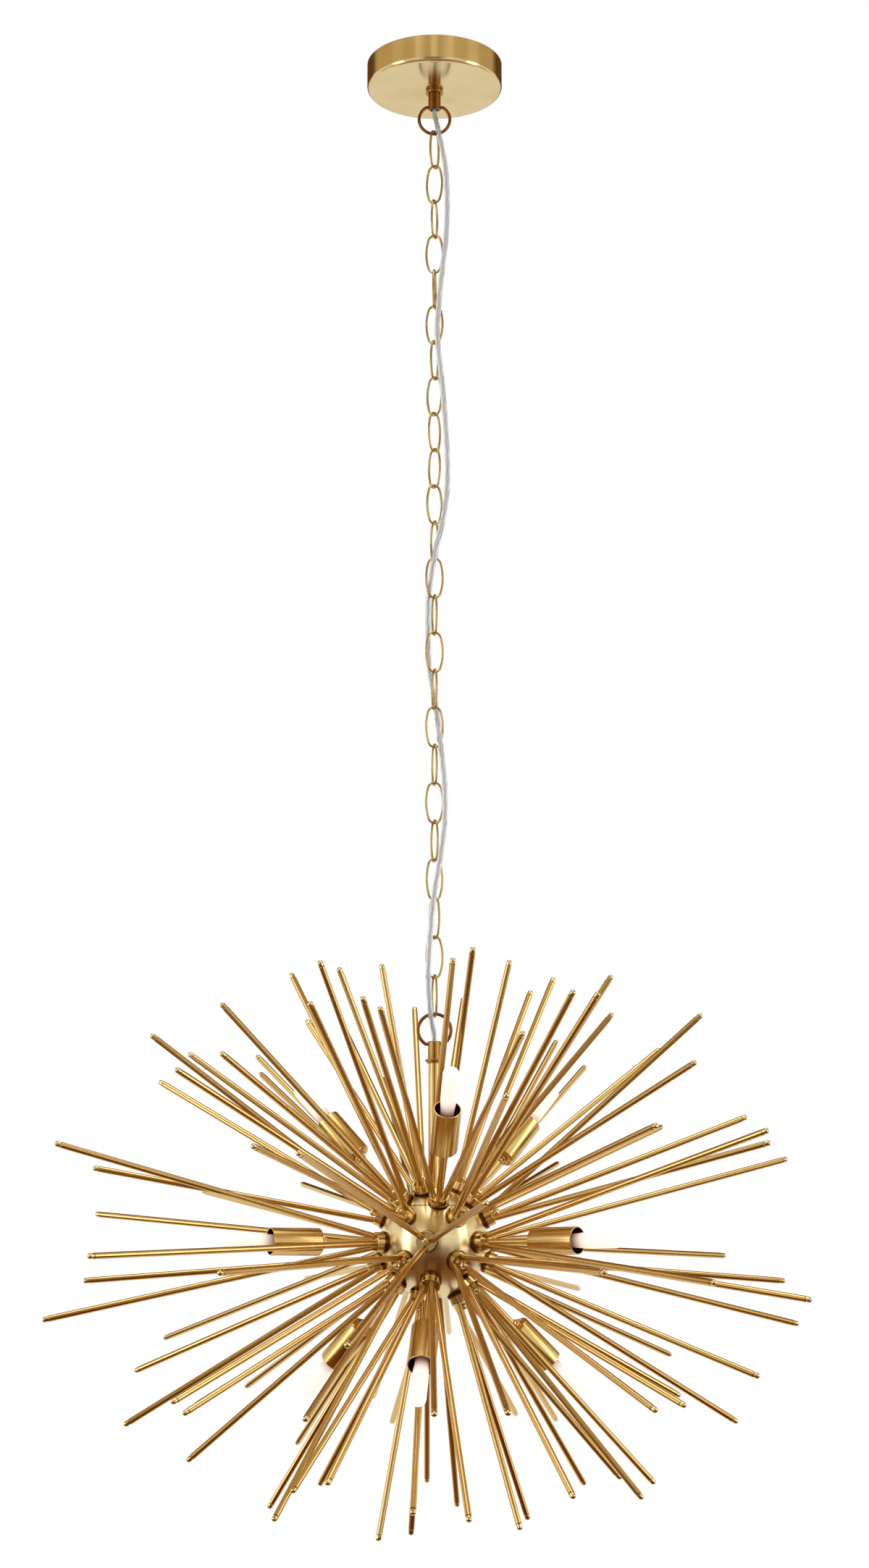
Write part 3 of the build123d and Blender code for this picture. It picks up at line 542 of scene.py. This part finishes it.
# Lamps: arm, stepped nut, straight cup and frosted capsule; heights are from the hub's centre
lampShape = {"armRadius": 2.75, "armEnd": 111.5, "bore": 2.8, "edge": 0.3,
             "nutSmall": 4.5, "nutLarge": 7.0, "nutSmallHeight": 2.2, "nutLargeHeight": 2.6,
             "cupBase": 108.0, "cupRadius": 12.0, "cupWall": 1.0, "cupLength": 46.0, "bevel": 1.4,
             "bevelFoot": 0.1, "bevelSoft": 0.15, "rimEdge": 0.2, "rimDrop": 0.25,
             "bulbFoot": 141.0, "bulbNeck": 150.0, "bulbShoulder": 166.0, "bulbTip": 198.0, "bulbRadius": 7.0,
             "bulbThroat": 6.0, "crown": 5.6, "crownOut": 0.75, "crownUp": 0.9, "neckSteps": 8,
             "crownSteps": 10}


def makeLamps():
    s = lampShape
    base = s["cupBase"]
    rim = base + s["cupLength"]
    r = s["cupRadius"]
    inner = r - s["cupWall"]
    bore = s["bore"]
    edge = s["edge"]
    bevel = s["bevel"]
    small = s["nutSmall"]
    large = s["nutLarge"]
    step = base - s["nutLargeHeight"]
    foot = step - s["nutSmallHeight"]
    face = hubSizes["bossFace"]
    arm = [(0, face), (s["armRadius"], face), (s["armRadius"], s["armEnd"]), (0, s["armEnd"])]
    nut = [(bore, foot), (small - edge, foot), (small, foot + edge), (small, step), (large - edge, step),
           (large, step + edge), (large, base - edge), (large - s["rimEdge"], base), (bore, base)]
    cup = [(bore, base), (r - bevel - edge, base), (r - bevel, base + s["bevelFoot"]),
           (r - s["bevelSoft"], base + bevel - s["bevelFoot"]), (r, base + bevel + edge),
           (r, rim - s["rimDrop"]), (r - s["rimEdge"], rim), (inner + s["rimEdge"], rim),
           (inner, rim - s["rimDrop"]), (inner, base + s["cupWall"] + bevel),
           (inner - bevel, base + s["cupWall"]), (bore, base + s["cupWall"])]
    cupSlots = [0] * 7 + [1] * 4  # outside, inside
    bulb = [(0, s["bulbFoot"]), (s["bulbThroat"], s["bulbFoot"])]
    for k in range(s["neckSteps"] + 1):  # shoulder drawn in to the pinch
        up = k / s["neckSteps"]
        swell = (s["bulbRadius"] - s["bulbThroat"]) * (1 - math.cos(math.pi * up)) / 2
        bulb.append((s["bulbThroat"] + swell, s["bulbNeck"] + (s["bulbShoulder"] - s["bulbNeck"]) * up))
    for k in range(s["crownSteps"] + 1):  # flattened dome at the tip
        a = math.pi / 2 * k / s["crownSteps"]
        across = s["bulbRadius"] * math.cos(a) ** s["crownOut"] if k < s["crownSteps"] else 0
        bulb.append((across, s["bulbTip"] - s["crown"] + s["crown"] * math.sin(a) ** s["crownUp"]))
    # profile, slot of each band, materials, segments round, material slot of the record, node
    parts = {"socketArms": (arm, None, [rodBrass], 24, "rod_brass", "socket_arms"),
             "socketNuts": (nut, None, [tipBrass], 32, "satin_brass", "socket_nuts"),
             "socketCups": (cup, cupSlots, [cupBrass, shadedInsideBrass], 56, "satin_brass", "socket_cups"),
             "bulbGlass": (bulb, None, [bulbGlass], 36, "bulb_glass", "bulb_glass")}
    for name, (profile, slots, materials, segments, slotName, node) in parts.items():
        bm, uv = newSolid()
        for ring, (elevation, firstAzimuth, length, lamps, turns) in bossRings.items():
            places = bossPlaces(elevation, firstAzimuth, turns)
            for lamp in lamps:
                lathe(bm, uv, profile, places[lamp], segments, slots)
        finishSolid(name, bm, materials, "burst", slotName, node)


makeLamps()
print("lamps made")

# Chain: oval links of four tangent arcs, each with a closed butt seam halfway down one side.
# alongMm and aroundMm: size of a facet on the lengthwise map; twist: link number and its turn in degrees
chainShape = {"count": 24, "length": 39.94, "width": 18.0, "wire": 2.1, "gap": 0.2, "endRadius": 6.0,
              "steps": 56, "sides": 12, "seam": 0.82, "flipEvery": 3, "alongMm": 1.8, "aroundMm": 0.55,
              "toneShift": 0.3, "twist": [(1, 30), (5, 8), (13, 75), (19, 75), (22, 57), (24, 75)]}


def ovalLine():
    a = (chainShape["length"] - chainShape["wire"]) / 2
    b = (chainShape["width"] - chainShape["wire"]) / 2
    small = chainShape["endRadius"]
    large = (b * b + (a - small) ** 2 - small * small) / (2 * (b - small))
    reach = math.atan2(a - small, large - b)  # half of each side arc
    points = []
    for k in range(chainShape["steps"] // 2):  # right side, from the middle up and over the top
        t = k / (chainShape["steps"] // 2)
        sideShare = large * reach / (large * reach + small * (math.pi / 2 - reach)) / 2
        if t < sideShare:
            c = reach * t / sideShare
            points.append((b - large + large * math.cos(c), large * math.sin(c)))
        elif t <= 1 - sideShare:
            c = reach + (math.pi - 2 * reach) * (t - sideShare) / (1 - 2 * sideShare)
            points.append((small * math.cos(c), a - small + small * math.sin(c)))
        else:
            c = reach * (1 - t) / sideShare
            points.append((large - b - large * math.cos(c), large * math.sin(c)))
    return points + [(-x, -z) for x, z in points]


def linkTwist(number):
    for (low, lowTwist), (high, highTwist) in zip(chainShape["twist"], chainShape["twist"][1:]):
        if number <= high:
            return lowTwist + (highTwist - lowTwist) * (number - low) / (high - low)


def makeChain():
    line = [Vector((x, 0, z)) for x, z in ovalLine()]
    seam = [1.0] * len(line)
    seam[0] = chainShape["seam"]  # the wire is thinner at its butt seam
    bm, uv = newSolid()
    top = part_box("chain")[1].z / mm
    pitch = chainShape["length"] - 2 * chainShape["wire"] - chainShape["gap"]
    sides = chainShape["sides"]
    for number in range(1, chainShape["count"] + 1):
        height = top - chainShape["length"] / 2 - (number - 1) * pitch
        turn = math.radians((90 if number % 2 else 0) - linkTwist(number))
        flip = math.pi if number % chainShape["flipEvery"] == 0 else 0  # the seams don't all face one way
        place = Matrix.Translation((0, 0, height * mm)) @ Matrix.Rotation(turn + flip, 4, "Z")
        rings = []
        for k, point in enumerate(line):
            ahead = (line[(k + 1) % len(line)] - line[k - 1]).normalized()
            outward = Vector((ahead.z, 0, -ahead.x))
            ring = []
            for q in range(sides):
                c = 2 * math.pi * q / sides
                around = outward * math.cos(c) + Vector((0, 1, 0)) * math.sin(c)
                ring.append(bm.verts.new(place @ ((point + around * chainShape["wire"] / 2 * seam[k]) * mm)))
            rings.append(ring)
        for k in range(len(line)):
            low = rings[k]
            high = rings[(k + 1) % len(line)]
            for q in range(sides):
                n = (q + 1) % sides
                face = bm.faces.new((low[q], low[n], high[n], high[q]))
                face.smooth = True
                for loop, (i, j) in zip(face.loops, ((k, q), (k, q + 1), (k + 1, q + 1), (k + 1, q))):
                    loop[uv].uv = (i * chainShape["alongMm"] * mm + number * chainShape["toneShift"],
                                   j * chainShape["aroundMm"] * mm)
    finishSolid("chainLinks", bm, [chainBrass], "hanger", "chain_brass", "chain")


makeChain()
print("chain made")

# Studio: white all round, soft boxes, and cards that only the metal mirrors, as in product photographs
studioLights = {
    "leftBox": {"place": (-2.4, -1.3, -0.7), "aim": (0, 0, -0.9), "size": (0.9, 2.4), "power": 14},
    "rightBox": {"place": (2.4, -1.1, -0.6), "aim": (0, 0, -0.9), "size": (0.9, 2.4), "power": 14},
    "topBox": {"place": (0, -0.6, 1.2), "aim": (0, 0, -1.0), "size": (1.6, 1.6), "power": 12},
}
# turn and lift in degrees from cardCentre, turn 0 on the camera's side; soft: faded share of each edge
mirrorCards = {
    "cameraSide": {"turn": (-23, 18), "lift": (-26, 36), "radius": 3.0, "soft": (0.25, 0.2),
                   "low": "#4A2612", "high": "#A8925E"},
    "lowFront": {"turn": (-120, 120), "lift": (-26, -6), "radius": 3.2, "soft": (0.1, 0.35),
                 "low": "#4A240A", "high": "#7E4E20"},
    "highWindow": {"turn": (-9, 7), "lift": (30, 52), "radius": 3.2, "soft": (0.3, 0.2),
                   "low": "#E0D0A8", "high": "#D2BE90"},
    "highShade": {"turn": (-30, 26), "lift": (22, 58), "radius": 3.3, "soft": (0.35, 0.15),
                  "low": "#B2965E", "high": "#A68850"},
    "highRing": {"turn": (-180, 180), "lift": (22, 60), "radius": 3.4, "soft": (0.0, 0.2),
                 "low": "#D0BA8E", "high": "#BCA06A"},
    "backShade": {"turn": (112, 248), "lift": (12, 74), "radius": 3.1, "soft": (0.12, 0.15),
                  "low": "#6E4820", "high": "#5A3816"},
    "floorMiddle": {"turn": (-40, 36), "lift": (-89, -26), "radius": 1.5, "soft": (0.25, 0.0),
                    "low": "#6A3618", "high": "#5A2A12"},
    "floorFront": {"turn": (-125, 125), "lift": (-89, -26), "radius": 1.55, "soft": (0.1, 0.0),
                   "low": "#8E6232", "high": "#6E4420"},
}
cardCentre = (0, 0, -1.0)
cardSteps = 32
# lift: glow that the camera and clear plastic see; mirrorLift: glow that the metal mirrors
floorLook = {"height": -2.6, "size": 20.0, "colour": "#F2F1EF", "rough": 0.9, "lift": 0.14,
             "mirrorLift": 0.3}
fillStrength = 0.7  # the world as a light; as a background it is plain white


def domeCard(name, card):  # a patch of a ball round the object
    points = []
    faces = []
    spots = []
    for i in range(cardSteps + 1):
        lift = math.radians(card["lift"][0] + (card["lift"][1] - card["lift"][0]) * i / cardSteps)
        for j in range(cardSteps + 1):
            turn = math.radians(card["turn"][0] + (card["turn"][1] - card["turn"][0]) * j / cardSteps)
            spot = Vector((math.cos(lift) * math.sin(turn), -math.cos(lift) * math.cos(turn),
                           math.sin(lift)))
            points.append(spot * card["radius"])
            spots.append((j / cardSteps, i / cardSteps))
            if i and j:
                k = i * (cardSteps + 1) + j
                faces.append((k - cardSteps - 2, k - cardSteps - 1, k, k - 1))
    mesh = bpy.data.meshes.new(name)
    mesh.from_pydata(points, [], faces)
    across = mesh.uv_layers.new(name="across")
    for loop in mesh.loops:
        across.data[loop.index].uv = spots[loop.vertex_index]
    patch = bpy.data.objects.new(name, mesh)
    patch.location = cardCentre
    bpy.context.scene.collection.objects.link(patch)
    for ray in ("camera", "diffuse", "shadow", "transmission", "volume_scatter"):
        setattr(patch, "visible_" + ray, False)
    paint, tree = newMaterial(name + "Paint")
    spot = addNode(tree, "ShaderNodeSeparateXYZ", None,
                   {0: addNode(tree, "ShaderNodeUVMap", {"uv_map": "across"}).outputs["UV"]})
    tone = addNode(tree, "ShaderNodeMix", {"data_type": "RGBA"},
                   {0: spot.outputs["Y"], 6: linear(card["low"]), 7: linear(card["high"])}).outputs[2]
    solid = 1.0
    for axis, soft in zip("XY", card["soft"]):
        if soft:  # fades towards both edges
            inward = addNode(tree, "ShaderNodeMath", {"operation": "PINGPONG"},
                             {0: spot.outputs[axis], 1: 0.5}).outputs[0]
            fade = addNode(tree, "ShaderNodeMapRange", {"interpolation_type": "SMOOTHSTEP"},
                           {"Value": inward, "From Max": soft}).outputs[0]
            solid = addNode(tree, "ShaderNodeMath", {"operation": "MULTIPLY"}, {0: fade, 1: solid}).outputs[0]
    clear = addNode(tree, "ShaderNodeBsdfTransparent").outputs[0]
    glow = addNode(tree, "ShaderNodeEmission", None, {"Color": tone}).outputs[0]
    shader = addNode(tree, "ShaderNodeMixShader", None, {0: solid, 1: clear, 2: glow})
    addNode(tree, "ShaderNodeOutputMaterial", None, {"Surface": shader.outputs[0]})
    mesh.materials.append(paint)


def plainPlane(name, size):
    mesh = bpy.data.meshes.new(name)
    x = size[0] / 2
    y = size[1] / 2
    mesh.from_pydata([(-x, -y, 0), (x, -y, 0), (x, y, 0), (-x, y, 0)], [], [(0, 1, 2, 3)])
    plane = bpy.data.objects.new(name, mesh)
    bpy.context.scene.collection.objects.link(plane)
    return plane


def makeStudio():
    for name, box in studioLights.items():
        data = bpy.data.lights.new(name, "AREA")
        data.shape = "RECTANGLE"
        data.size = box["size"][0]
        data.size_y = box["size"][1]
        data.energy = box["power"]
        lamp = bpy.data.objects.new(name, data)
        lamp.location = box["place"]
        beam = Vector(box["aim"]) - Vector(box["place"])
        lamp.rotation_euler = beam.to_track_quat("-Z", "Y").to_euler()
        lamp.visible_camera = False
        bpy.context.scene.collection.objects.link(lamp)
    for name, card in mirrorCards.items():
        domeCard(name, card)
    floor = plainPlane("paleFloor", (floorLook["size"], floorLook["size"]))
    floor.location = (0, 0, floorLook["height"])
    floorPaint, tree = newMaterial("floorPaint")
    rays = addNode(tree, "ShaderNodeLightPath").outputs
    seen = addNode(tree, "ShaderNodeMath", {"operation": "MAXIMUM"},
                   {0: rays["Is Camera Ray"], 1: rays["Is Transmission Ray"]})
    seen = addNode(tree, "ShaderNodeMath", {"operation": "MULTIPLY"},
                   {0: seen.outputs[0], 1: floorLook["lift"]})
    lift = addNode(tree, "ShaderNodeMath", {"operation": "MULTIPLY_ADD"},
                   {0: rays["Is Glossy Ray"], 1: floorLook["mirrorLift"], 2: seen.outputs[0]}).outputs[0]
    shade = addNode(tree, "ShaderNodeBsdfPrincipled", None,
                    {"Base Color": linear(floorLook["colour"]), "Roughness": floorLook["rough"],
                     "Specular IOR Level": 0.0, "Emission Color": linear(floorLook["colour"]),
                     "Emission Strength": lift})
    clear = addNode(tree, "ShaderNodeBsdfTransparent")
    under = addNode(tree, "ShaderNodeNewGeometry").outputs["Backfacing"]  # clear from below
    mix = addNode(tree, "ShaderNodeMixShader", None, {0: under, 1: shade.outputs[0], 2: clear.outputs[0]})
    addNode(tree, "ShaderNodeOutputMaterial", None, {"Surface": mix.outputs[0]})
    floor.data.materials.append(floorPaint)
    world = bpy.data.worlds.new("whiteStudio")
    bpy.context.scene.world = world
    world.use_nodes = True
    tree = world.node_tree
    tree.nodes.clear()
    rays = addNode(tree, "ShaderNodeLightPath").outputs
    seen = addNode(tree, "ShaderNodeMath", {"operation": "MAXIMUM"},
                   {0: rays["Is Camera Ray"], 1: rays["Is Glossy Ray"]})
    seen = addNode(tree, "ShaderNodeMath", {"operation": "MAXIMUM"},
                   {0: seen.outputs[0], 1: rays["Is Transmission Ray"]})
    strength = addNode(tree, "ShaderNodeMapRange", None,
                       {"Value": seen.outputs[0], "To Min": fillStrength, "To Max": 1.0})
    back = addNode(tree, "ShaderNodeBackground", None,
                   {"Color": (1, 1, 1, 1), "Strength": strength.outputs[0]})
    addNode(tree, "ShaderNodeOutputWorld", None, {"Surface": back.outputs[0]})
    bpy.context.scene.view_settings.view_transform = "Standard"


makeStudio()
print("studio set")
